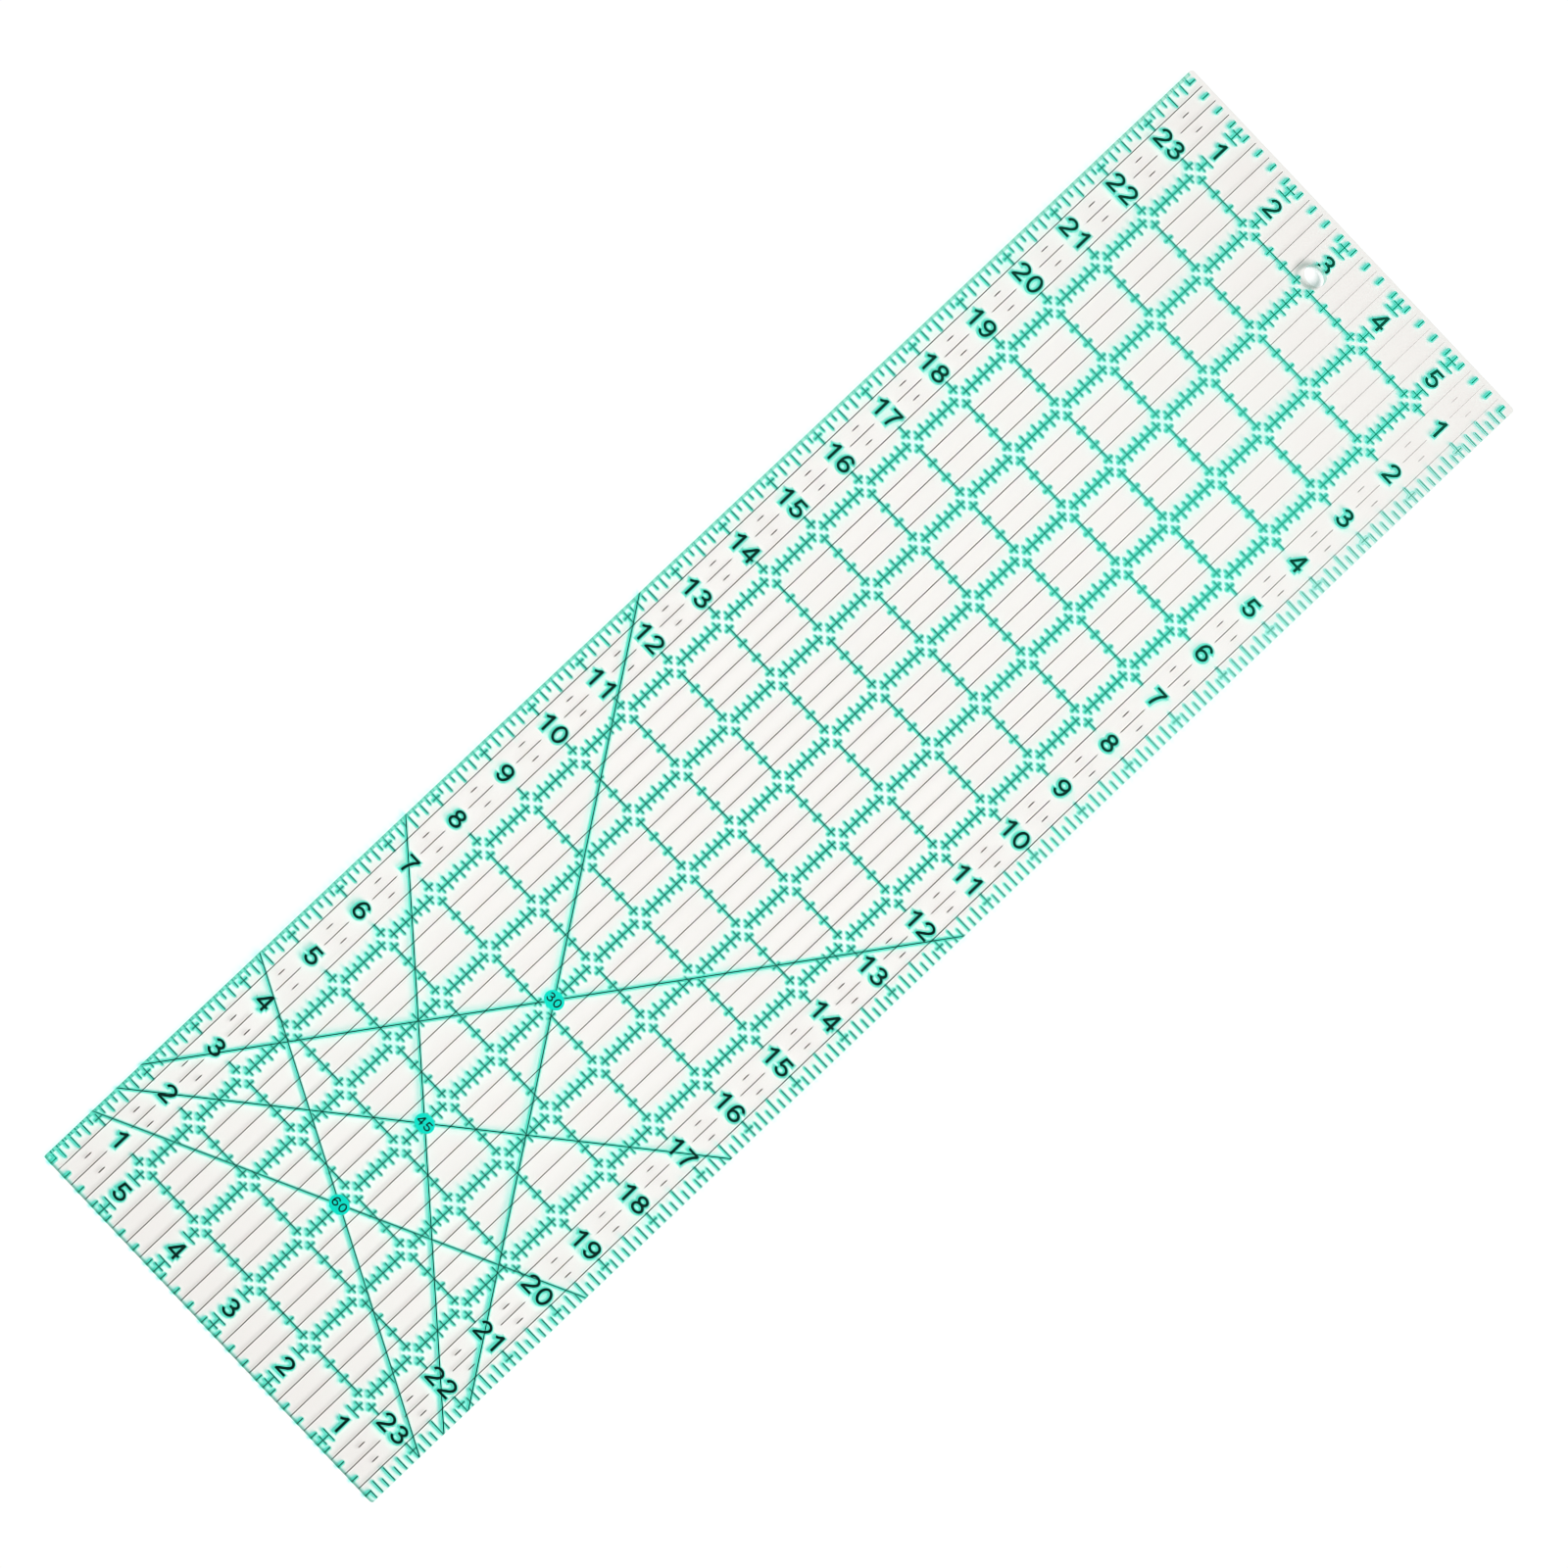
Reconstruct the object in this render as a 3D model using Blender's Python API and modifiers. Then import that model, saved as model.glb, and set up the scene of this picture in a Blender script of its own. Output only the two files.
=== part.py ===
"""A 6 by 24 inch quilting ruler: a clear acrylic blank with two screen-printed ink layers on its underside.

X runs across the ruler, Y along it and Z up. The origin is at the middle of the underside. Places in the
print are given as the ruler gives them: inches across from the left long edge, inches along from the near end.
The black print is next to the acrylic and the turquoise one is under it, so from above the black lies on top.
"""

import math

import bmesh
import bpy
from mathutils import Matrix, Vector

INCH = 0.0254

# The acrylic blank
RULER_WIDTH = 6 * INCH
RULER_LENGTH = 24 * INCH
BLANK_THICKNESS = 0.0025
CORNER_RADIUS = 0.0012
EDGE_BREAK = 0.0002
HANG_HOLE_DIAMETER = 0.008
HANG_HOLE_ALONG = 23.19
HANG_HOLE_SIDES = 48

# The ink layers
INK_THICKNESS = 0.00005
INK_GAP = 0.00002
INK_MARGIN = 0.0004
HALO_WIDTH = 0.00125
HALO_SLIP = (-0.00005, -0.00015, 0.0)
LINE_WIDTH = 0.00028
HAIRLINE_WIDTH = 0.00028
EDGE_BAND_WIDTH = 0.0013

# The printed layout, in inches
INCHES_ACROSS = 6
INCHES_ALONG = 24
HAIRLINE_STEP = 0.25
GRID_OVERRUN = 0.25
ANGLE_STARTS = {60: 1.0, 45: 1.5, 30: 2.0}
DISC_DIAMETER = 0.0071
DISC_SIDES = 32

BLANK_COLOUR = (0.93, 0.92, 0.90, 1.0)
TURQUOISE = (0.05, 0.72, 0.55, 1.0)
BLACK = (0.012, 0.02, 0.02, 1.0)


def clear_scene():
    for obj in list(bpy.data.objects):
        bpy.data.objects.remove(obj, do_unlink=True)


def new_collection(name):
    collection = bpy.data.collections.new(name)
    bpy.context.scene.collection.children.link(collection)
    return collection


def principled(name, colour, roughness, transmission=0.0):
    material = bpy.data.materials.new(name)
    material.use_nodes = True
    shader = material.node_tree.nodes["Principled BSDF"]
    shader.inputs["Base Color"].default_value = colour
    shader.inputs["Roughness"].default_value = roughness
    shader.inputs["Metallic"].default_value = 0.0
    shader.inputs["Transmission Weight"].default_value = transmission
    return material


def on_ruler(across, along):
    """The X and Y of a point given in inches from the left long edge and the near end."""
    return Vector((across * INCH - RULER_WIDTH / 2, along * INCH - RULER_LENGTH / 2, 0.0))


def object_from(bm, name, collection, material=None):
    mesh = bpy.data.meshes.new(name)
    bm.to_mesh(mesh)
    bm.free()
    obj = bpy.data.objects.new(name, mesh)
    collection.objects.link(obj)
    if material:
        mesh.materials.append(material)
    return obj


def box(name, size, centre, collection, turn=0.0, material=None):
    bm = bmesh.new()
    bmesh.ops.create_cube(bm, size=1.0, matrix=Matrix.Diagonal((*size, 1.0)))
    obj = object_from(bm, name, collection, material)
    obj.location = centre
    obj.rotation_euler.z = turn
    return obj


def disc(name, diameter, height, sides, centre, collection):
    bm = bmesh.new()
    bmesh.ops.create_cone(
        bm,
        cap_ends=True,
        segments=sides,
        radius1=diameter / 2,
        radius2=diameter / 2,
        depth=height,
    )
    obj = object_from(bm, name, collection)
    obj.location = centre
    return obj


def as_cutter(obj):
    obj.hide_render = True
    obj.display_type = "WIRE"
    return obj


def add_boolean(obj, operation, other=None, others=None):
    modifier = obj.modifiers.new(operation.title(), "BOOLEAN")
    modifier.operation = operation
    modifier.solver = "EXACT"
    if others:
        modifier.operand_type = "COLLECTION"
        modifier.collection = others
    else:
        modifier.object = other


def round_corners(obj):
    """Rounds the four upright edges in plan."""
    bm = bmesh.new()
    bm.from_mesh(obj.data)
    upright = [e for e in bm.edges if abs(e.verts[0].co.z - e.verts[1].co.z) > BLANK_THICKNESS / 2]
    bmesh.ops.bevel(bm, geom=upright, offset=CORNER_RADIUS, segments=4, affect="EDGES", profile=0.5)
    bm.to_mesh(obj.data)
    bm.free()


def make_blank(parts, cutters):
    """The clear plate above the ink, with rounded corners, eased edges and the hole it hangs by."""
    size = (RULER_WIDTH, RULER_LENGTH, BLANK_THICKNESS)
    centre = Vector((0, 0, 2 * (INK_THICKNESS + INK_GAP) + BLANK_THICKNESS / 2))
    clear = principled("clear_acrylic", BLANK_COLOUR, 0.06, transmission=0.9)
    blank = box("acrylic_blank", size, centre, parts, material=clear)
    round_corners(blank)
    easing = blank.modifiers.new("EasedEdges", "BEVEL")
    easing.width = EDGE_BREAK
    easing.segments = 1
    easing.limit_method = "ANGLE"
    easing.angle_limit = math.radians(60)
    hole_at = on_ruler(INCHES_ACROSS / 2, HANG_HOLE_ALONG) + centre
    hole = disc("hang_hole_cutter", HANG_HOLE_DIAMETER, 4 * BLANK_THICKNESS, HANG_HOLE_SIDES, hole_at, cutters)
    add_boolean(blank, "DIFFERENCE", as_cutter(hole))
    return blank


def bar_between(name, start, end, width, height, cutters):
    """A flat bar of ink between two points of the ruler."""
    run = end - start
    middle = (start + end) / 2 + Vector((0, 0, height))
    turn = math.atan2(run.y, run.x)
    return as_cutter(box(name, (run.length, width, INK_THICKNESS), middle, cutters, turn))


def lengthwise_bars(steps, width, height, cutters, name, ends=(0.0, INCHES_ALONG)):
    """Bars along the ruler at the given inches across."""
    for across in steps:
        top = min(ends[1], INCHES_ALONG - 1) if across == INCHES_ACROSS / 2 else ends[1]
        start = inside(on_ruler(across, ends[0]))
        end = inside(on_ruler(across, top))
        bar_between(f"{name}_{across:.2f}", start, end, width, height, cutters)


def inside(point):
    """The point, moved inwards where it lies within the margin that stays free of ink."""
    limit_x = RULER_WIDTH / 2 - INK_MARGIN
    limit_y = RULER_LENGTH / 2 - INK_MARGIN
    return Vector((max(-limit_x, min(limit_x, point.x)), max(-limit_y, min(limit_y, point.y)), point.z))


def angle_bars(width, height, cutters):
    """The two crossing lines at each of 30, 45 and 60 degrees to the ruler's length."""
    for angle, start_along in ANGLE_STARTS.items():
        rise = INCHES_ACROSS * rise_per_inch(angle)
        ends = ((start_along, start_along + rise), (start_along + rise, start_along))
        for number, (left, right) in enumerate(ends):
            start = on_ruler(0, left)
            end = on_ruler(INCHES_ACROSS, right)
            inset = INK_MARGIN + width / 2 * abs((end - start).normalized().y)
            trim = (end - start) * (inset / RULER_WIDTH)
            bar_between(f"angle_{angle}_{number}", start + trim, end - trim, width, height, cutters)


def rise_per_inch(angle):
    """How far an angle line climbs along the ruler for each inch across: its angle is to the ruler's length."""
    return 1 / math.tan(math.radians(angle))


def join_layer(name, cutters, parts, material):
    """One closed film made of every bar and disc in the collection."""
    members = list(cutters.objects)
    film = members[0].copy()
    film.data = members[0].data.copy()
    film.name = name
    film.hide_render = False
    film.display_type = "TEXTURED"
    film.data.materials.append(material)
    parts.objects.link(film)
    cutters.objects.unlink(members[0])
    bpy.data.objects.remove(members[0], do_unlink=True)
    add_boolean(film, "UNION", others=cutters)
    return film


def make_turquoise_layer(parts, height):
    """The wide print under the inch grid and the angle lines, slipped a little, with the discs and edge band."""
    bars = new_collection("turquoise_bars")
    inches = range(1, INCHES_ACROSS)
    ends = (1 - GRID_OVERRUN, INCHES_ALONG - 1 + GRID_OVERRUN)
    lengthwise_bars(inches, HALO_WIDTH, height, bars, "grid", ends)
    for along in range(1, INCHES_ALONG):
        start = on_ruler(1 - GRID_OVERRUN, along)
        end = on_ruler(INCHES_ACROSS - 1 + GRID_OVERRUN, along)
        bar_between(f"crosswise_{along:02d}", start, end, HALO_WIDTH, height, bars)
    angle_bars(HALO_WIDTH, height, bars)
    for bar in bars.objects:
        bar.location += Vector(HALO_SLIP)
    for angle, start_along in ANGLE_STARTS.items():
        middle = start_along + INCHES_ACROSS / 2 * rise_per_inch(angle)
        centre = on_ruler(INCHES_ACROSS / 2, middle) + Vector((0, 0, height))
        as_cutter(disc(f"disc_{angle}", DISC_DIAMETER, INK_THICKNESS, DISC_SIDES, centre, bars))
    band_at = inside(on_ruler(0, 0)).x + EDGE_BAND_WIDTH / 2
    near = Vector((band_at, inside(on_ruler(0, 0)).y, 0))
    far = Vector((band_at, inside(on_ruler(0, INCHES_ALONG)).y, 0))
    bar_between("edge_band", near, far, EDGE_BAND_WIDTH, height, bars)
    return join_layer("turquoise_ink_layer", bars, parts, principled("turquoise_ink", TURQUOISE, 0.35))


def make_black_layer(parts, height):
    """The print next to the acrylic: the fine lines along the ruler and the fine angle lines."""
    bars = new_collection("black_bars")
    steps = int(INCHES_ACROSS / HAIRLINE_STEP)
    hairlines = [n * HAIRLINE_STEP for n in range(1, steps) if (n * HAIRLINE_STEP) % 1]
    lengthwise_bars(hairlines, HAIRLINE_WIDTH, height, bars, "hairline")
    ends = (1 - GRID_OVERRUN, INCHES_ALONG - 1 + GRID_OVERRUN)
    lengthwise_bars(range(1, INCHES_ACROSS), LINE_WIDTH, height, bars, "line", ends)
    angle_bars(LINE_WIDTH, height, bars)
    return join_layer("black_ink_layer", bars, parts, principled("black_ink", BLACK, 0.4))


def main():
    clear_scene()
    parts = new_collection("quilting_ruler")
    cutters = new_collection("cutters")
    make_blank(parts, cutters)
    turquoise_height = INK_THICKNESS / 2
    make_turquoise_layer(parts, turquoise_height)
    make_black_layer(parts, turquoise_height + INK_THICKNESS + INK_GAP)


main()
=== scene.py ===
"""The looks of a 6 by 24 inch clear acrylic quilting ruler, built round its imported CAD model.

The print is laid out flat in the ruler's own inches: across from the left long edge, along from the near
end. Each ink's marks are then parted into pieces that don't overlap and raised into thin closed films,
which take the place of the CAD's two simpler ink layers. The plate is the CAD's own.
"""

import math
from collections import namedtuple

import bpy
from mathutils import Matrix, Vector
from mathutils.geometry import delaunay_2d_cdt


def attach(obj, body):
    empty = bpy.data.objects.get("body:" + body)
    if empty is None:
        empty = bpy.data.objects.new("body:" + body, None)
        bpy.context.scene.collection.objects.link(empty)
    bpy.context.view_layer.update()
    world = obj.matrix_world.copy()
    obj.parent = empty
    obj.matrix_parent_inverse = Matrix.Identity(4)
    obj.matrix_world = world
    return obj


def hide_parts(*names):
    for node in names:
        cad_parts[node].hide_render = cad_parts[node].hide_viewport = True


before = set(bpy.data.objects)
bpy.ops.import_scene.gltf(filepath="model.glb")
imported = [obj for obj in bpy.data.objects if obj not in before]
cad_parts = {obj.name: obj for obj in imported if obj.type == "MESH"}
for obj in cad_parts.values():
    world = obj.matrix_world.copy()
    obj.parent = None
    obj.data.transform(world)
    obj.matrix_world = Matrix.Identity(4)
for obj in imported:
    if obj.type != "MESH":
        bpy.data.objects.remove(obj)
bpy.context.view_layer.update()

INCH = 0.0254
ACROSS = 6
ALONG = 24
MIDDLE = ACROSS / 2

# The widths of the black lines, in inches like all sizes of the print
LINE = 0.0118
HAIRLINE = 0.0112
DASH = 0.0135

# How far the turquoise reaches past a black line: on each side of one along the ruler, of one across it,
# and at its ends. A faint ring of painted soft shadow goes further still, and the whole turquoise print
# slipped by SLIP.
HALO_ALONG = 0.0190
HALO_ACROSS = 0.0150
HALO_END = 0.0120
PAINTED_SHADE_RING = 0.0145
SLIP = Vector((-0.0035, -0.0060))

# The grid: how far its lines stop from a crossing, the ticks' lengths and how far the outer stubs reach
GAP = 0.0625
SHORT_TICK = 0.140
LONG_TICK = 0.205
STUB = 0.25

# The scales: lines start MARGIN from the plate's edge and no ink lies within INK_LIMIT of it. SCALE_TICKS
# says how far the tick at each eighth of an inch reaches, and END_SCALE_MARKS how deep and long the
# crossbars are.
MARGIN = 0.010
INK_LIMIT = 0.004
EIGHTH = 0.125
SCALE_TICKS = {0: 0.250, 1: 0.135, 2: 0.197, 3: 0.135, 4: 0.230, 5: 0.135, 6: 0.197, 7: 0.135}
CORNER_MARK = 0.135
END_SCALE_MARKS = ((EIGHTH, SHORT_TICK), (2 * EIGHTH, LONG_TICK))

# The hairline in each column of numbers stops this far from a whole inch, to leave room for its number
NUMBER_ROOM = 0.25
NUMBER_COLUMN = 0.5
DASH_LENGTH = 0.125
DASH_COLUMNS = (0.375, 0.625, ACROSS - 0.625, ACROSS - 0.375)

# The strip along the left edge, a painted reflection of the edge wall, and where the scale's ticks start
# beside it. A mark, a painted reflection of a tick in that wall, is how far past its eighth of an inch it
# lies and how wide it is. The second one lies elsewhere from SECOND_MARK_MOVES on.
TICKS_BESIDE_STRIP = 0.055
STRIP_MIDDLE = 0.0265
STRIP_WIDTH = 0.045
STRIP_MARK_SHORTFALL = 0.006
FIRST_MARK = (0.005, 0.022)
SECOND_MARK = (0.052, 0.014)
SECOND_MARK_BEYOND = (0.092, 0.014)
SECOND_MARK_MOVES = 8.5

# Numbers. A digit's width, pitch and stroke are shares of its height.
DIGIT_HEIGHT = 0.285
DIGIT_WIDTH = 0.70
DIGIT_PITCH = 0.81
DIGIT_STROKE = 0.130
NUMBER_LIFT = 0.015
NEAR_NUMBER_ROW = 0.49
FAR_NUMBER_ROW = ALONG - 0.51
NUMBER_HALO = 0.019
LABEL_HEIGHT = 0.145

# Angle lines: where the lower ends of each angle's two lines lie, by degrees, and the disc where they cross
ANGLE_STARTS = {60: 1.0, 45: 1.5, 30: 2.0}
DISC_RADIUS = 0.1415
DISC_SIDES = 40

# The hole, and the round patch at it that was left unprinted: middle and radius
HOLE = ((MIDDLE, 23.19), 0.161)
BARE_PATCH = ((MIDDLE, 23.25), 0.156)
HOLE_SIDES = 48

# Where the turquoise starts to reach less far, in inches along, and how much of its reach it loses in all
HALO_NARROWS_FROM = 17.5
HALO_NARROWS_MOST = 0.62

# Heights of the two films in metres, as in the CAD
TURQUOISE_FILM = (0.0, 0.00005)
BLACK_FILM = (0.00007, 0.00012)

# Corners of the flat shapes that lie closer than this, in inches, are taken as one
SNAP = 1e-6


def ease(share):
    """A share from 0 to 1 with a soft start and end."""
    share = min(1, max(0, share))
    return share * share * (3 - 2 * share)


# ---------------------------------------------------------------- flat shapes


def bar(start, end, width, cap=0.0, chamfer=0.0):
    """The corners of a straight bar, made longer by cap at both ends, with chamfered corners."""
    start, end = Vector(start), Vector(end)
    along = (end - start).normalized()
    side = Vector((-along.y, along.x)) * (width / 2)
    start, end = start - along * cap, end + along * cap
    if not chamfer:
        return [start - side, end - side, end + side, start + side]
    slim = side * (1 - 2 * chamfer / width)
    step = along * chamfer
    return [
        start + step - side,
        end - step - side,
        end - slim,
        end + slim,
        end - step + side,
        start + step + side,
        start + slim,
        start - slim,
    ]


def ribbon(points, width, cap=0.0, closed=False):
    """Four-cornered pieces of a line of even width through the points, mitred where it turns."""
    points = [Vector(p) for p in points]
    if not closed and cap:
        points[0] = points[0] + (points[0] - points[1]).normalized() * cap
        points[-1] = points[-1] + (points[-1] - points[-2]).normalized() * cap
    count = len(points)
    sides = []
    for i, point in enumerate(points):
        before = points[i - 1] if i or closed else None
        after = points[(i + 1) % count] if i < count - 1 or closed else None
        ways = [w.normalized() for w in (before and point - before, after and after - point) if w]
        normals = [Vector((-w.y, w.x)) for w in ways]
        middle = sum(normals, Vector((0, 0))).normalized()
        stretch = 1 / max(0.5, middle.dot(normals[0]))
        sides.append(middle * (width / 2 * stretch))
    quads = []
    for i in range(count if closed else count - 1):
        j = (i + 1) % count
        quad = [points[i] - sides[i], points[j] - sides[j], points[j] + sides[j], points[i] + sides[i]]
        quads.append(untwisted(quad))
    return quads


def untwisted(corners):
    """The corners in their order round the middle, as the inner side of a tight bend can cross over."""
    middle = sum(corners, Vector((0, 0))) / len(corners)
    return sorted(corners, key=lambda corner: math.atan2(corner.y - middle.y, corner.x - middle.x))


def circle(centre, radius, sides):
    turn = 2 * math.pi / sides
    return [Vector(centre) + Vector((math.cos(i * turn), math.sin(i * turn))) * radius for i in range(sides)]


def arc(cx, cy, rx, ry, first, last, steps):
    """Points on an ellipse from one angle to another, in degrees."""
    angles = [math.radians(first + (last - first) * i / steps) for i in range(steps + 1)]
    return [(cx + rx * math.cos(a), cy + ry * math.sin(a)) for a in angles]


def ring(cx, cy, rx, ry, steps=20):
    return arc(cx, cy, rx, ry, 0, 360 - 360 / steps, steps - 1)


# Each digit as lines through its strokes, one unit high. True marks a line that closes on itself.
SIX = [
    (ring(0.355, 0.315, 0.250, 0.245), True),
    (arc(0.375, 0.470, 0.268, 0.460, 197, 90, 9) + arc(0.375, 0.715, 0.215, 0.215, 78, 12, 4), False),
]
DIGITS = {
    "0": [(ring(0.35, 0.5, 0.265, 0.430, 24), True)],
    "1": [
        ([(0.455, 0.0), (0.455, 1.0)], False),
        ([(0.425, 0.930), (0.350, 0.840), (0.255, 0.765), (0.150, 0.715)], False),
    ],
    "2": [
        (
            arc(0.360, 0.690, 0.245, 0.240, 172, -22, 11)
            + [(0.500, 0.460), (0.340, 0.310), (0.190, 0.175), (0.110, 0.070)],
            False,
        ),
        ([(0.055, 0.070), (0.640, 0.070)], False),
    ],
    "3": [
        (arc(0.340, 0.735, 0.215, 0.195, 165, -78, 11), False),
        ([(0.250, 0.535), (0.360, 0.535)], False),
        (arc(0.350, 0.305, 0.255, 0.235, 86, -168, 13), False),
    ],
    "4": [
        ([(0.495, 0.0), (0.495, 1.0)], False),
        ([(0.010, 0.300), (0.660, 0.300)], False),
        ([(0.080, 0.310), (0.460, 0.935)], False),
    ],
    "5": [
        ([(0.600, 0.930), (0.190, 0.930), (0.125, 0.500)], False),
        (arc(0.350, 0.320, 0.255, 0.250, 142, -168, 14), False),
    ],
    "6": SIX,
    "7": [
        ([(0.060, 0.930), (0.640, 0.930)], False),
        ([(0.600, 0.910), (0.450, 0.700), (0.350, 0.460), (0.290, 0.220), (0.270, 0.0)], False),
    ],
    "8": [(ring(0.35, 0.735, 0.210, 0.195), True), (ring(0.35, 0.300, 0.255, 0.230), True)],
    "9": [([(0.70 - x, 1.0 - y) for x, y in points], closed) for points, closed in SIX],
}


def number(text, centre, height, grow=0.0):
    """The strokes of a number centred on a point, made fatter by grow inches all round."""
    quads = []
    width = (len(text) - 1) * DIGIT_PITCH + DIGIT_WIDTH
    for place, digit in enumerate(text):
        corner = Vector(centre) + Vector((place * DIGIT_PITCH - width / 2, -0.5)) * height
        for points, closed in DIGITS[digit]:
            line = [corner + Vector(p) * height for p in points]
            quads += ribbon(line, DIGIT_STROKE * height + 2 * grow, grow, closed)
    return quads


# ---------------------------------------------------------------- the print


def pressure(place):
    """How far the turquoise reaches, as a share: less towards the end with the hole, least on the right."""
    along = ease((place.y - HALO_NARROWS_FROM) / (ALONG - HALO_NARROWS_FROM))
    across = 0.5 + 0.5 * ease(place.x / MIDDLE)
    return 1 - HALO_NARROWS_MOST * along * across


class Print:
    """The flat shapes of both inks, the turquoise ones with the painted wall reflection among them, each
    with the name of the piece that it belongs to.
    """

    def __init__(self):
        self.turquoise = []
        self.black = []

    def line(self, name, start, end):
        """A black line or tick with turquoise round it, broader on marks that run along the ruler, and a
        faint ring of painted soft shadow past that.
        """
        self.black.append((name, bar(start, end, LINE)))
        run = Vector(end) - Vector(start)
        spread = pressure((Vector(start) + Vector(end)) / 2)
        halo = HALO_ALONG * (1 + spread) / 2 if abs(run.y) > abs(run.x) else HALO_ACROSS * spread
        for part, more in (("halo", 0.0), ("bleed", PAINTED_SHADE_RING)):
            cap = HALO_END * spread + more
            shape = bar(start, end, LINE + 2 * (halo + more), cap, cap)
            self.turquoise.append((f"{name}_{part}", [corner + SLIP for corner in shape]))

    def fine(self, name, start, end, width=HAIRLINE):
        """A thin black line with nothing round it."""
        self.black.append((name, bar(start, end, width)))

    def number(self, name, value, centre):
        text = str(value)
        self.black += [(name, quad) for quad in number(text, centre, DIGIT_HEIGHT)]
        halo = NUMBER_HALO * pressure(Vector(centre))
        # The halo is print; the ring past it is painted soft shadow
        for part, grow in (("halo", halo), ("bleed", halo + PAINTED_SHADE_RING)):
            shapes = number(text, Vector(centre) + SLIP, DIGIT_HEIGHT, grow)
            self.turquoise += [(f"{name}_{part}", shape) for shape in shapes]


def ticks_on_line(prints, u, first, last):
    """The ticks every eighth of an inch on a lengthwise line, none at its whole inches."""
    for eighth in range(round(first * 8), round(last * 8) + 1):
        if eighth % 8 == 0:
            continue
        half = (SHORT_TICK if eighth % 2 else LONG_TICK) / 2
        prints.line("grid", (u - half, eighth / 8), (u + half, eighth / 8))


def lay_out_grid(prints):
    """The inch squares, with a gap round each crossing, their ticks and the stubs past the outer lines."""
    first, last = 1 - STUB, ALONG - 1 + STUB
    for u in range(1, ACROSS):
        end = last if u != MIDDLE else ALONG - 1 - GAP
        prints.line("grid", (u, first), (u, 1 - GAP))
        for v in range(1, ALONG - 1):
            prints.line("grid", (u, v + GAP), (u, v + 1 - GAP))
        if u != MIDDLE:
            prints.line("grid", (u, ALONG - 1 + GAP), (u, last))
        ticks_on_line(prints, u, first, end)
    for v in range(1, ALONG):
        prints.line("grid", (1 - STUB, v), (1 - GAP, v))
        prints.line("grid", (ACROSS - 1 + GAP, v), (ACROSS - 1 + STUB, v))
        for u in range(1, ACROSS - 1):
            prints.line("grid", (u + GAP, v), (u + 1 - GAP, v))
        for eighth in range(7, (ACROSS - 1) * 8 + 2, 2):
            u, half = eighth / 8, SHORT_TICK / 2
            prints.line("grid", (u, v - half), (u, v + half))


def lay_out_long_scales(prints):
    """The eighth-inch scales along the two long edges."""
    sides = (("left_scale", 0, 1, TICKS_BESIDE_STRIP), ("right_scale", ACROSS, -1, MARGIN))
    for name, edge, way, start in sides:
        for eighth in range(1, ALONG * 8):
            v = eighth / 8
            length = SCALE_TICKS[eighth % 8]
            prints.line(name, (edge + way * start, v), (edge + way * length, v))
            if eighth % 8 == 0:
                half = CORNER_MARK / 2
                prints.line(name, (edge + way * EIGHTH, v - half), (edge + way * EIGHTH, v + half))


def lay_out_end_scales(prints):
    """The eighth-inch scales along the two short edges, and the longer marks at their whole inches."""
    for name, edge, way in (("near_scale", 0, 1), ("far_scale", ALONG, -1)):
        for eighth in range(1, ACROSS * 8):
            u = eighth / 8
            if eighth % 8 == 0:
                prints.line(name, (u, edge + way * MARGIN), (u, edge + way * SCALE_TICKS[0]))
                for depth, length in END_SCALE_MARKS:
                    v = edge + way * depth
                    prints.line(name, (u - length / 2, v), (u + length / 2, v))
            elif eighth % 2:
                prints.line(name, (u, edge + way * MARGIN), (u, edge + way * CORNER_MARK))


def lay_out_fine_lines(prints):
    """Hairlines every quarter inch, broken beside the numbers, and the short dashes next to those."""
    for quarter in range(1, ACROSS * 4):
        u = quarter / 4
        if quarter % 4 == 0:
            continue
        if u in (NUMBER_COLUMN, ACROSS - NUMBER_COLUMN):
            prints.fine("hairlines", (u, MARGIN), (u, 1 - NUMBER_ROOM))
            for v in range(1, ALONG - 1):
                prints.fine("hairlines", (u, v + NUMBER_ROOM), (u, v + 1 - NUMBER_ROOM))
            prints.fine("hairlines", (u, ALONG - 1 + NUMBER_ROOM), (u, ALONG - MARGIN))
        else:
            prints.fine("hairlines", (u, MARGIN), (u, ALONG - MARGIN))
    for u in DASH_COLUMNS:
        for v in range(ALONG):
            prints.fine("dashes", (u, v + 0.5 - DASH_LENGTH / 2), (u, v + 0.5 + DASH_LENGTH / 2), DASH)


def lay_out_angles(prints):
    """The two crossing lines of each angle, and the disc with its label where they cross."""
    for angle, start in ANGLE_STARTS.items():
        rise = ACROSS / math.tan(math.radians(angle))
        name = f"angle_{angle}"
        prints.line(name, (0.0, start), (ACROSS, start + rise))
        prints.line(name, (0.0, start + rise), (ACROSS, start))
        centre = (MIDDLE, start + rise / 2)
        prints.turquoise.append(("angle_discs", circle(centre, DISC_RADIUS, DISC_SIDES)))
        prints.black.append(("angle_discs", circle(centre, DISC_RADIUS, DISC_SIDES)))
        quads = number(str(angle), centre, LABEL_HEIGHT)
        prints.black += [("angle_labels", quad) for quad in quads]


def lay_out_numbers(prints):
    """The numbers beside the long edges, which run opposite ways, and those across both ends."""
    for v in range(1, ALONG):
        prints.number("left_numbers", v, (NUMBER_COLUMN, v + NUMBER_LIFT))
        prints.number("right_numbers", ALONG - v, (ACROSS - NUMBER_COLUMN, v + NUMBER_LIFT))
    for u in range(1, ACROSS):
        prints.number("near_numbers", ACROSS - u, (u, NEAR_NUMBER_ROW))
        prints.number("far_numbers", u, (u, FAR_NUMBER_ROW))


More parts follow.
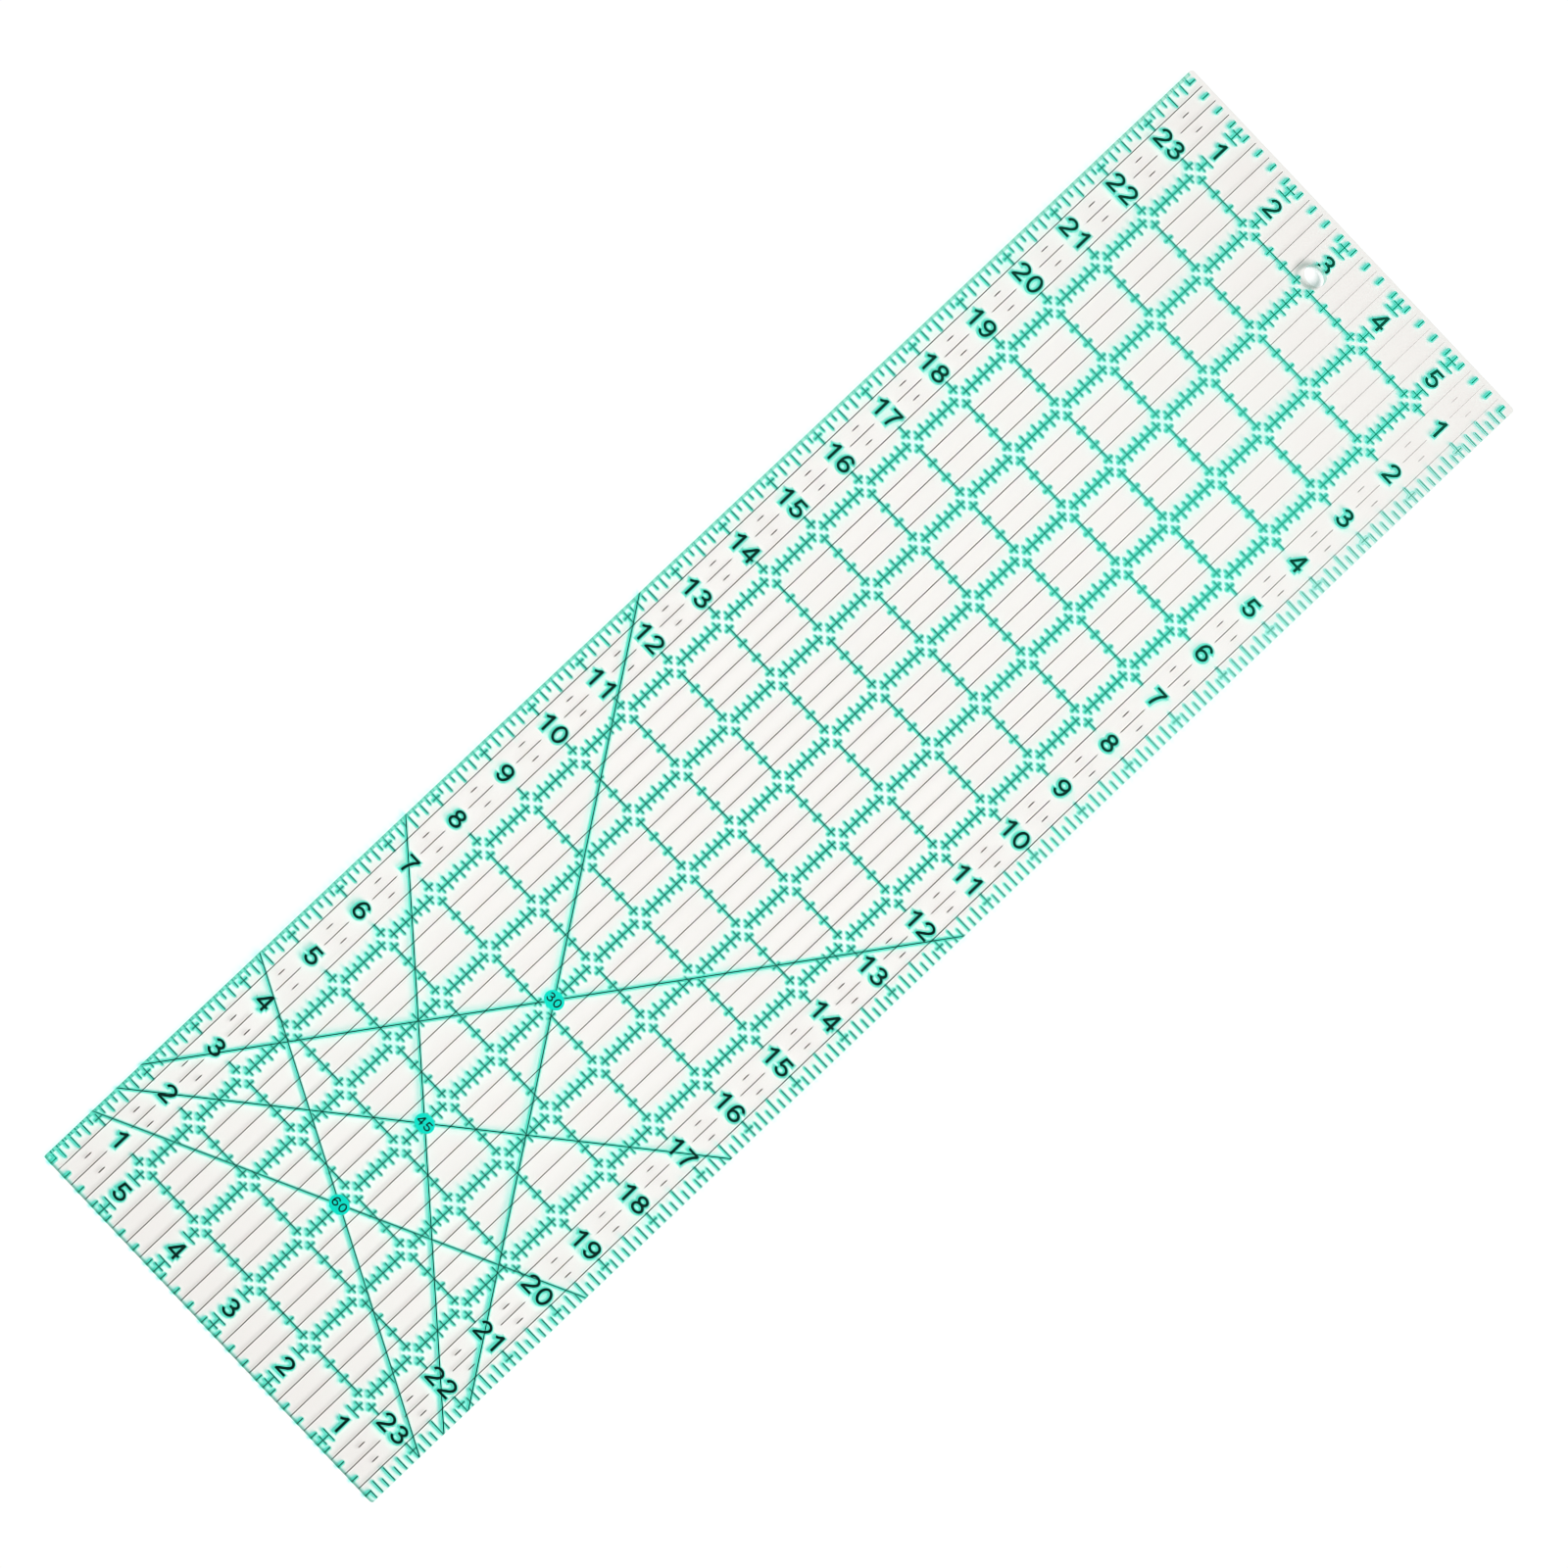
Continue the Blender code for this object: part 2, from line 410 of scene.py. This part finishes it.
def lay_out_edge_strip(prints):
    """The pale strip along the left edge, a painted reflection of the edge wall, with two denser marks to
    each eighth of an inch that paint the ticks mirrored in it.
    """
    strip = bar((STRIP_MIDDLE, MARGIN), (STRIP_MIDDLE, ALONG - MARGIN), STRIP_WIDTH)
    prints.turquoise.append(("edge_strip", strip))
    start = STRIP_MIDDLE - STRIP_WIDTH / 2
    end = STRIP_MIDDLE + STRIP_WIDTH / 2 - STRIP_MARK_SHORTFALL
    for eighth in range(1, ALONG * 8):
        second = SECOND_MARK if eighth / 8 < SECOND_MARK_MOVES else SECOND_MARK_BEYOND
        for past, width in (FIRST_MARK, second):
            v = eighth / 8 + past
            prints.turquoise.append(("edge_strip_marks", bar((start, v), (end, v), width)))


def lay_out_print():
    prints = Print()
    lay_out_edge_strip(prints)
    lay_out_numbers(prints)
    lay_out_grid(prints)
    lay_out_long_scales(prints)
    lay_out_end_scales(prints)
    lay_out_angles(prints)
    lay_out_fine_lines(prints)
    return prints


# ---------------------------------------------------------------- from flat shapes to films


def part_shapes(shapes, order):
    """Splits overlapping shapes into triangles that belong to one piece each.

    order lists the pieces from the one on top. What lies on a disc is only the disc's own label, and nothing
    lies over the hole or outside the plate.
    """
    outline = bar((MIDDLE, INK_LIMIT), (MIDDLE, ALONG - INK_LIMIT), ACROSS - 2 * INK_LIMIT)
    limits = [("outline", outline), *(("hole", circle(*patch, HOLE_SIDES)) for patch in (HOLE, BARE_PATCH))]
    corners, faces, owners = [], [], []
    for owner, polygon in [*limits, *shapes]:
        faces.append(list(range(len(corners), len(corners) + len(polygon))))
        corners += polygon
        owners.append(owner)
    points, _, triangles, _, _, sources = delaunay_2d_cdt(corners, [], faces, 1, SNAP, True)
    rank = {name: place for place, name in enumerate(order)}
    pieces = {}
    for triangle, covering in zip(triangles, sources):
        names = {owners[i] for i in covering}
        if "outline" not in names or "hole" in names or len(triangle) != 3:
            continue
        found = [name for name in names if name in rank]
        if "angle_discs" in names:
            found = [name for name in found if name in ("angle_discs", "angle_labels")]
        if found:
            pieces.setdefault(min(found, key=rank.get), []).append(triangle)
    return points, pieces


def split_fans(triangles):
    """Gives triangles that meet only at a point a corner each, so that no wall is shared."""
    edges, home = {}, {}

    def root(key):
        while home.setdefault(key, key) != key:
            key = home[key]
        return key

    for n, triangle in enumerate(triangles):
        for a, b in zip(triangle, triangle[1:] + triangle[:1]):
            edges.setdefault(frozenset((a, b)), []).append(n)
    for edge, owners in edges.items():
        if len(owners) == 2:
            for corner in edge:
                home[root((corner, owners[0]))] = root((corner, owners[1]))
    return [[root((corner, n)) for corner in triangle] for n, triangle in enumerate(triangles)]


def film(name, points, triangles, heights, material):
    """A thin closed solid over the triangles, between two heights."""
    keyed = split_fans([list(t) for t in triangles])
    index, flat = {}, []
    for triangle in keyed:
        for key in triangle:
            if key not in index:
                index[key] = len(flat)
                flat.append(points[key[0]])
    low, high = heights
    place = [(p.x * INCH - ACROSS * INCH / 2, p.y * INCH - ALONG * INCH / 2) for p in flat]
    verts = [(x, y, low) for x, y in place] + [(x, y, high) for x, y in place]
    count = len(flat)
    ids = [[index[key] for key in triangle] for triangle in keyed]
    faces = [tuple(i + count for i in t) for t in ids] + [tuple(reversed(t)) for t in ids]
    sides = {(a, b) for t in ids for a, b in zip(t, t[1:] + t[:1])}
    faces += [(a, b, b + count, a + count) for a, b in sides if (b, a) not in sides]
    mesh = bpy.data.meshes.new(name)
    mesh.from_pydata(verts, [], faces)
    mesh.materials.append(material)
    mesh.validate()
    obj = bpy.data.objects.new(name, mesh)
    bpy.context.scene.collection.objects.link(obj)
    return obj


# ---------------------------------------------------------------- materials


class Nodes:
    """A short way to write a material's nodes."""

    def __init__(self, name):
        self.material = bpy.data.materials.new(name)
        self.material.use_nodes = True
        self.tree = self.material.node_tree
        self.tree.nodes.clear()

    def add(self, kind, **settings):
        node = self.tree.nodes.new("ShaderNode" + kind)
        for key, value in settings.items():
            setattr(node, key, value)
        return node

    def link(self, source, target):
        self.tree.links.new(source, target)

    def noise(self, scale, detail, stretch=(1, 1, 1)):
        """Noise in the object's own metres."""
        place = self.add("TexCoord")
        mapping = self.add("Mapping")
        mapping.inputs["Scale"].default_value = stretch
        self.link(place.outputs["Object"], mapping.inputs["Vector"])
        noise = self.add("TexNoise")
        noise.inputs["Scale"].default_value = scale
        noise.inputs["Detail"].default_value = detail
        self.link(mapping.outputs["Vector"], noise.inputs["Vector"])
        return noise.outputs["Fac"]

    def map_range(self, value, low, high, to_low, to_high):
        node = self.add("MapRange")
        self.link(value, node.inputs["Value"])
        for key, limit in (("From Min", low), ("From Max", high), ("To Min", to_low), ("To Max", to_high)):
            node.inputs[key].default_value = limit
        return node.outputs["Result"]

    def math(self, operation, first, second=0):
        node = self.add("Math", operation=operation)
        for socket, value in zip(node.inputs, (first, second)):
            if isinstance(value, (int, float)):
                socket.default_value = value
            else:
                self.link(value, socket)
        return node.outputs[0]

    def mix_colour(self, factor, first, second):
        node = self.add("Mix", data_type="RGBA")
        self.link(factor, node.inputs[0])
        for socket, value in ((node.inputs[6], first), (node.inputs[7], second)):
            if isinstance(value, tuple):
                socket.default_value = (*value, 1)
            else:
                self.link(value, socket)
        return node.outputs[2]

    def distance(self, point):
        """How far a place is from an upright axis through the point, in metres."""
        apart = self.add("VectorMath", operation="DISTANCE")
        flat = self.add("CombineXYZ")
        self.link(self.place("X"), flat.inputs["X"])
        self.link(self.place("Y"), flat.inputs["Y"])
        self.link(flat.outputs[0], apart.inputs[0])
        apart.inputs[1].default_value = (*point, 0)
        return apart.outputs["Value"]

    def place(self, axis):
        """The object's own X, Y or Z in metres."""
        place = self.add("TexCoord")
        split = self.add("SeparateXYZ")
        self.link(place.outputs["Object"], split.inputs["Vector"])
        return split.outputs[axis]

    def finish(self, shader):
        output = self.add("OutputMaterial")
        self.link(shader, output.inputs["Surface"])
        return self.material


NEAR_LEFT_CORNER = (-MIDDLE * INCH, -ALONG / 2 * INCH)
HOLE_AXIS = ((HOLE[0][0] - MIDDLE) * INCH, (HOLE[0][1] - ALONG / 2) * INCH)
END = ALONG / 2 * INCH

# Where the inks change, in metres from the ruler's middle or, at the corner, from the corner
GLARE_ALONG = (0.0381, END)
GLARE_ACROSS = (-0.076, 0.020)
GLARE_AT_CORNER = (0.004, 0.015)
STRIP_FIRST_INCHES = (-0.2667, -0.1524)
RIGHT_SCALE_FADES = (-0.03, 0.25)

# How washed out the inks are, from 0 to 1, by painted glare: at the far end and at the near left corner.
# The left edge has a share of the far end's painted glare, and the fine lines have more of it.
FAR_END_GLARE = 0.86
CORNER_GLARE = 0.85
LEFT_EDGE_SHARE = 0.35
FINE_LINE_SHARE = 1.14

# The last step to the full washed-out look is left to the unevenness that is added
NEARLY_FULL = 0.92
# How washed out the painted reflection along the left edge is over its first inches
STRIP_FADE_EARLY = 0.40
RIGHT_SCALE_GLARE = (0.04, NEARLY_FULL)

INK_ROUGHNESS = 0.35
INK_SHINE = 0.1

# Noise is a scale, a detail and sometimes a stretch, and its range says what comes of it
SPECKLE_NOISE = (1400, 2)
SPECKLE_RANGE = (0.35, 0.75, 0.0, 0.08)
PATCHY_NOISE = (700, 3)
PATCHY_RANGE = (0.3, 0.7, 0.0, 0.08)
SCUFF_NOISE = (260, 4, (1, 0.12, 1))
SCUFF_RANGE = (0.3, 0.8, 0.03, 0.10)

# The plate's colours, and where they change: by distance from the ruler's middle, by height on a sawn
# edge and by distance from the hole's axis. It shines where more than SHINE_FROM of the light would
# bounce off.
FACE_TINT = (0.956, 0.948, 0.934)
# Painted shade: the faces are tinted darker towards both ends
FACE_TINT_WITH_END_SHADE = (0.928, 0.915, 0.901)
FACE_CHANGE = (0.15, END)
# Painted reflection of the print in the upright edges, darker low down; its light colour also tints their
# gloss
WALL_INK_REFLECTION_LOW = (0.24, 0.52, 0.44)
WALL_INK_REFLECTION_HIGH = (0.60, 0.86, 0.81)
WALL_INK_REFLECTION_CHANGE = (0.0013, 0.0021)
# The drilled wall's colour: painted reflection of the print with painted shade
DRILLED = (0.60, 0.81, 0.75)
DRILLED_SHADOW = (0.0, 0.16, 0.12)
DRILLED_REACH = (0.0048, 0.0043)
ACRYLIC_IOR = 1.49
SHINE_FROM = 0.034
WHITE = (1.0, 1.0, 1.0)

# How upright the normal is on a face that is flat and on one that is all wall
FLAT_TO_WALL = (0.9, 0.2)
FACE_CHANGE_POWER = 1.6


def speckle(nodes):
    """Fine unevenness of the ink."""
    return nodes.map_range(nodes.noise(*SPECKLE_NOISE), *SPECKLE_RANGE)


def wear(nodes, fading=1.0):
    """How washed out the ink is, from 0 to 1: speckled by the ink's own unevenness, and paler at the far end
    and the near left corner with painted glare.
    """
    along = nodes.map_range(nodes.place("Y"), *GLARE_ALONG, 0.0, FAR_END_GLARE * fading)
    across = nodes.map_range(nodes.place("X"), *GLARE_ACROSS, LEFT_EDGE_SHARE, 1.0)
    far_end = nodes.math("MULTIPLY", along, across)
    corner = nodes.map_range(nodes.distance(NEAR_LEFT_CORNER), *GLARE_AT_CORNER, CORNER_GLARE, 0.0)
    return nodes.math("MAXIMUM", nodes.math("ADD", speckle(nodes), far_end), corner)


def fine_wear(nodes):
    """The same, but fading sooner."""
    return wear(nodes, FINE_LINE_SHARE)


def along_ruler(nodes):
    """From 0 at the near end to 1 at the far one, a little uneven."""
    along = nodes.map_range(nodes.place("Y"), -END, END, 0.0, NEARLY_FULL)
    return nodes.math("ADD", along, nodes.map_range(nodes.noise(*PATCHY_NOISE), *PATCHY_RANGE))


def strip_wear(nodes):
    """Like along_ruler, but the painted reflection along the left edge is dense over its first inches only.
    """
    first_inches = nodes.map_range(nodes.place("Y"), *STRIP_FIRST_INCHES, 0.0, STRIP_FADE_EARLY)
    return nodes.math("MAXIMUM", along_ruler(nodes), first_inches)


def right_wear(nodes):
    """The scale on the right edge gets paler from its middle to the end with the hole with painted glare,
    speckled by the ink's own unevenness.
    """
    along = nodes.map_range(nodes.place("Y"), *RIGHT_SCALE_FADES, *RIGHT_SCALE_GLARE)
    return nodes.math("ADD", along, speckle(nodes))


# How an ink looks: the tint it gives to light that goes through, its body's colour and how much that covers
Look = namedtuple("Look", "tint body cover")

# Each ink's look where it is fresh and where it is washed out, mostly by painted glare, and what says how
# washed out it is
INKS = {
    "turquoise_ink_film": (
        Look((0.34, 0.90, 0.86), (0.15, 0.77, 0.63), 0.68),
        Look((0.38, 0.89, 0.83), (0.15, 0.86, 0.73), 0.55),
        wear,
    ),
    # A faint ring of painted soft shadow round each halo, stronger at the far end
    "turquoise_painted_shade_ring_film": (
        Look((0.92, 0.99, 0.98), (0.3, 0.85, 0.75), 0.08),
        Look((0.58, 0.92, 0.89), (0.3, 0.88, 0.80), 0.12),
        wear,
    ),
    "turquoise_disc_film": (
        Look((0.30, 0.88, 0.86), (0.001, 0.73, 0.60), 0.88),
        Look((0.40, 0.95, 0.93), (0.02, 0.80, 0.68), 0.80),
        along_ruler,
    ),
    # Painted reflection of the left edge wall and of the ticks mirrored in it
    "painted_wall_reflection_film": (
        Look((0.92, 0.99, 0.98), (0.15, 0.75, 0.61), 0.80),
        Look((0.92, 0.99, 0.98), (0.46, 0.80, 0.70), 0.80),
        strip_wear,
    ),
    "painted_wall_reflection_marks_film": (
        Look((0.85, 0.97, 0.96), (0.001, 0.26, 0.20), 0.96),
        Look((0.85, 0.97, 0.96), (0.14, 0.57, 0.46), 0.80),
        strip_wear,
    ),
    "black_ink_film": (
        Look((0.25, 0.52, 0.48), (0.001, 0.020, 0.016), 1.0),
        Look((0.45, 0.80, 0.74), (0.001, 0.29, 0.18), 0.95),
        wear,
    ),
    "black_number_film": (
        Look((0.25, 0.52, 0.48), (0.001, 0.020, 0.016), 0.99),
        Look((0.55, 0.82, 0.78), (0.001, 0.100, 0.060), 0.95),
        wear,
    ),
    "fine_black_ink_film": (
        Look((0.60, 0.59, 0.58), (0.016, 0.011, 0.011), 0.96),
        Look((0.96, 0.955, 0.955), (0.06, 0.05, 0.05), 0.05),
        fine_wear,
    ),
    "right_scale_turquoise_film": (
        Look((0.34, 0.90, 0.86), (0.15, 0.77, 0.63), 0.68),
        Look((0.91, 0.99, 0.975), (0.60, 0.95, 0.87), 0.08),
        right_wear,
    ),
    "right_scale_black_film": (
        Look((0.25, 0.52, 0.48), (0.001, 0.020, 0.016), 1.0),
        Look((0.72, 0.93, 0.90), (0.015, 0.36, 0.25), 0.80),
        right_wear,
    ),
}


def ink(name):
    """An ink film that shows its own colour and tints the light that goes through it to the floor."""
    fresh, washed_out, change = INKS[name]
    nodes = Nodes(name)
    share = change(nodes)
    clear = nodes.add("BsdfTransparent")
    if fresh.tint == washed_out.tint:
        clear.inputs["Color"].default_value = (*fresh.tint, 1)
    else:
        nodes.link(nodes.mix_colour(share, fresh.tint, washed_out.tint), clear.inputs["Color"])
    skin = nodes.add("BsdfPrincipled")
    skin.inputs["Roughness"].default_value = INK_ROUGHNESS
    skin.inputs["Specular IOR Level"].default_value = INK_SHINE
    nodes.link(nodes.mix_colour(share, fresh.body, washed_out.body), skin.inputs["Base Color"])
    seen = nodes.math("SUBTRACT", 1.0, nodes.add("LightPath").outputs["Is Shadow Ray"])
    cover = fresh.cover
    if washed_out.cover != fresh.cover:
        cover = nodes.map_range(share, 0.0, 1.0, fresh.cover, washed_out.cover)
    mix = nodes.add("MixShader")
    nodes.link(nodes.math("MULTIPLY", seen, cover), mix.inputs["Fac"])
    nodes.link(clear.outputs[0], mix.inputs[1])
    nodes.link(skin.outputs[0], mix.inputs[2])
    return nodes.finish(mix.outputs[0])


def wall_colour(nodes, drilled):
    """The colour of the upright walls, a painted reflection of the print: a sawn edge is darker low down,
    where the ink is, than high up.
    """
    height = nodes.map_range(nodes.place("Z"), *WALL_INK_REFLECTION_CHANGE, 0.0, 1.0)
    sawn = nodes.mix_colour(height, WALL_INK_REFLECTION_LOW, WALL_INK_REFLECTION_HIGH)
    return nodes.mix_colour(drilled, sawn, DRILLED)


def flat_colour(nodes):
    """The tint of the two large faces, a little darker towards both ends, which is painted shade."""
    from_middle = nodes.math("ABSOLUTE", nodes.place("Y"))
    near_end = nodes.map_range(from_middle, *FACE_CHANGE, 0.0, 1.0)
    return nodes.mix_colour(nodes.math("POWER", near_end, FACE_CHANGE_POWER), FACE_TINT, FACE_TINT_WITH_END_SHADE)


def acrylic():
    """Clear sheet with fine scuffs, faces with painted shade towards both ends, sawn edges that carry a
    painted reflection of the print and a drilled wall darker with painted reflection of the print and
    painted shade.
    """
    nodes = Nodes("clear_acrylic_sheet")
    geometry = nodes.add("NewGeometry")
    split = nodes.add("SeparateXYZ")
    nodes.link(geometry.outputs["Normal"], split.inputs["Vector"])
    upright = nodes.math("ABSOLUTE", split.outputs["Z"])
    edge = nodes.map_range(upright, *FLAT_TO_WALL, 0.0, 1.0)
    outside = nodes.math("SUBTRACT", 1.0, geometry.outputs["Backfacing"])
    shadow = nodes.add("LightPath").outputs["Is Shadow Ray"]
    seen_outside = nodes.math("MULTIPLY", outside, nodes.math("SUBTRACT", 1.0, shadow))
    side = nodes.math("MULTIPLY", edge, seen_outside)
    near_hole = nodes.map_range(nodes.distance(HOLE_AXIS), *DRILLED_REACH, 0.0, 1.0)
    drilled = nodes.math("MULTIPLY", near_hole, edge)
    face = nodes.mix_colour(side, flat_colour(nodes), wall_colour(nodes, drilled))
    lit = nodes.mix_colour(drilled, WHITE, DRILLED_SHADOW)
    tint = nodes.add("BsdfTransparent")
    nodes.link(nodes.mix_colour(shadow, face, lit), tint.inputs["Color"])
    gloss = nodes.add("BsdfGlossy")
    # The walls' gloss takes the tint of the painted reflection of the print
    nodes.link(nodes.mix_colour(side, WHITE, WALL_INK_REFLECTION_HIGH), gloss.inputs["Color"])
    nodes.link(nodes.map_range(nodes.noise(*SCUFF_NOISE), *SCUFF_RANGE), gloss.inputs["Roughness"])
    fresnel = nodes.add("Fresnel")
    fresnel.inputs["IOR"].default_value = ACRYLIC_IOR
    shine = nodes.map_range(fresnel.outputs[0], SHINE_FROM, 1.0, 0.0, 1.0)
    mix = nodes.add("MixShader")
    nodes.link(nodes.math("MULTIPLY", shine, seen_outside), mix.inputs["Fac"])
    nodes.link(tint.outputs[0], mix.inputs[1])
    nodes.link(gloss.outputs[0], mix.inputs[2])
    return nodes.finish(mix.outputs[0])


def floor_material():
    nodes = Nodes("pale_floor")
    skin = nodes.add("BsdfPrincipled")
    skin.inputs["Base Color"].default_value = FLOOR_COLOUR
    skin.inputs["Roughness"].default_value = FLOOR_ROUGHNESS
    skin.inputs["Specular IOR Level"].default_value = 0.0
    return nodes.finish(skin.outputs[0])


# ---------------------------------------------------------------- assembly

# The pieces of each ink, from the one on top where they would overlap
HALOED = ["left_numbers", "right_numbers", "near_numbers", "far_numbers", "angle_30", "angle_45", "angle_60"]
HALOED += ["grid", "left_scale", "right_scale", "near_scale", "far_scale"]
TURQUOISE_ORDER = ["angle_discs", *[f"{name}_halo" for name in HALOED], "edge_strip_marks", "edge_strip"]
TURQUOISE_ORDER += [f"{name}_bleed" for name in HALOED]
BLACK_ORDER = ["angle_labels", *HALOED, "hairlines", "dashes"]


def build_films(shapes, order, heights, materials, node):
    points, pieces = part_shapes(shapes, order)
    for name in order:
        if name not in pieces:
            continue
        material = materials.get(name, materials["default"])
        piece = film(name, points, pieces[name], heights, material)
        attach(piece, "root")
        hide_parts(node)


def build_print():
    prints = lay_out_print()
    inks = {name: ink(name) for name in INKS}
    turquoise = {
        "default": inks["turquoise_ink_film"],
        "angle_discs": inks["turquoise_disc_film"],
        "edge_strip": inks["painted_wall_reflection_film"],
        "edge_strip_marks": inks["painted_wall_reflection_marks_film"],
        "right_scale_halo": inks["right_scale_turquoise_film"],
        **{f"{name}_bleed": inks["turquoise_painted_shade_ring_film"] for name in HALOED},
    }
    black = {
        "default": inks["black_ink_film"],
        "right_scale": inks["right_scale_black_film"],
        "hairlines": inks["fine_black_ink_film"],
        "dashes": inks["fine_black_ink_film"],
    }
    for name in BLACK_ORDER:
        if name.endswith(("numbers", "labels")):
            black[name] = inks["black_number_film"]
    build_films(
        prints.turquoise, TURQUOISE_ORDER, TURQUOISE_FILM, turquoise, "turquoise_ink_layer"
    )
    build_films(prints.black, BLACK_ORDER, BLACK_FILM, black, "black_ink_layer")


def dress_plate():
    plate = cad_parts["acrylic_blank"]
    for slot in plate.material_slots:
        slot.material = acrylic()


# ---------------------------------------------------------------- studio

# The floor lies FLOOR_GAP under the ruler's middle and falls away a little towards both ends. A dip is
# its depth in metres and the inches along the ruler where it starts and is full.
FLOOR_GAP = 0.0003
NEAR_DIP = (0.0012, 9.0, 4.0)
FAR_DIP = (0.0012, 15.0, 22.0)
FLOOR_ROWS = range(4, 24)
FLOOR_SIZE = 90.0
FLOOR_COLOUR = (0.93, 0.93, 0.93, 1)
FLOOR_ROUGHNESS = 0.9

# The camera, in degrees, in metres and, for its lens and sensor, in millimetres
CAMERA_AZIMUTH = -0.550
CAMERA_ELEVATION = 56.366
CAMERA_ROLL = 47.069
CAMERA_DISTANCE = 19.613
CAMERA_LENS = 1400
CAMERA_SENSOR = 36
CAMERA_SEES = (1, 100)
CAMERA_AIM = (0.000593, -0.001376, 0.0013)

# A broad sun that leans from upright by so much to the right and towards the near end, and an even sky
SUN_LEAN = (0.50, -0.25)
SUN_STRENGTH = 3.46
SUN_ANGLE = 44.0
SKY = 0.15

# How many clear layers a ray may pass, and how many pixels wide each pixel's filter is
CLEAR_LAYERS = 48
FILTER_WIDTH = 1.0


def floor_height(along):
    """The floor's height at so many inches along the ruler."""
    drops = [drop * ease((along - start) / (end - start)) for drop, start, end in (NEAR_DIP, FAR_DIP)]
    return -FLOOR_GAP - sum(drops)


def make_floor():
    half = FLOOR_SIZE / 2
    rows = [-half] + [along * INCH - ALONG * INCH / 2 for along in FLOOR_ROWS] + [half]
    verts = [(x, y, floor_height(y / INCH + ALONG / 2)) for y in rows for x in (-half, half)]
    faces = [(2 * i, 2 * i + 1, 2 * i + 3, 2 * i + 2) for i in range(len(rows) - 1)]
    mesh = bpy.data.meshes.new("floor")
    mesh.from_pydata(verts, [], faces)
    mesh.materials.append(floor_material())
    floor = bpy.data.objects.new("floor", mesh)
    bpy.context.scene.collection.objects.link(floor)


def make_lights():
    sun = bpy.data.lights.new("key", "SUN")
    sun.energy = SUN_STRENGTH
    sun.angle = math.radians(SUN_ANGLE)
    lamp = bpy.data.objects.new("key", sun)
    towards = Vector((*SUN_LEAN, 1.0))
    lamp.rotation_mode = "QUATERNION"
    lamp.rotation_quaternion = towards.to_track_quat("Z", "Y")
    bpy.context.scene.collection.objects.link(lamp)
    world = bpy.data.worlds.new("studio")
    world.use_nodes = True
    world.node_tree.nodes["Background"].inputs["Color"].default_value = (1, 1, 1, 1)
    world.node_tree.nodes["Background"].inputs["Strength"].default_value = SKY
    bpy.context.scene.world = world


def make_camera():
    azimuth, elevation, roll = (math.radians(a) for a in (CAMERA_AZIMUTH, CAMERA_ELEVATION, CAMERA_ROLL))
    back = Vector(
        (
            math.sin(azimuth) * math.cos(elevation),
            -math.cos(azimuth) * math.cos(elevation),
            math.sin(elevation),
        )
    )
    right = Vector((math.cos(azimuth), math.sin(azimuth), 0))
    up = back.cross(right)
    turned_right = right * math.cos(roll) + up * math.sin(roll)
    turned_up = up * math.cos(roll) - right * math.sin(roll)
    camera = bpy.data.objects.new("camera", bpy.data.cameras.new("camera"))
    camera.data.lens = CAMERA_LENS
    camera.data.sensor_width = CAMERA_SENSOR
    camera.data.clip_start, camera.data.clip_end = CAMERA_SEES
    turn = Matrix((turned_right, turned_up, back)).transposed().to_4x4()
    camera.matrix_world = Matrix.Translation(Vector(CAMERA_AIM) + back * CAMERA_DISTANCE) @ turn
    bpy.context.scene.collection.objects.link(camera)
    bpy.context.scene.camera = camera


dress_plate()
build_print()
make_floor()
make_lights()
make_camera()
bpy.context.scene.view_settings.view_transform = "Standard"
bpy.context.scene.cycles.transparent_max_bounces = CLEAR_LAYERS
bpy.context.scene.cycles.filter_width = FILTER_WIDTH
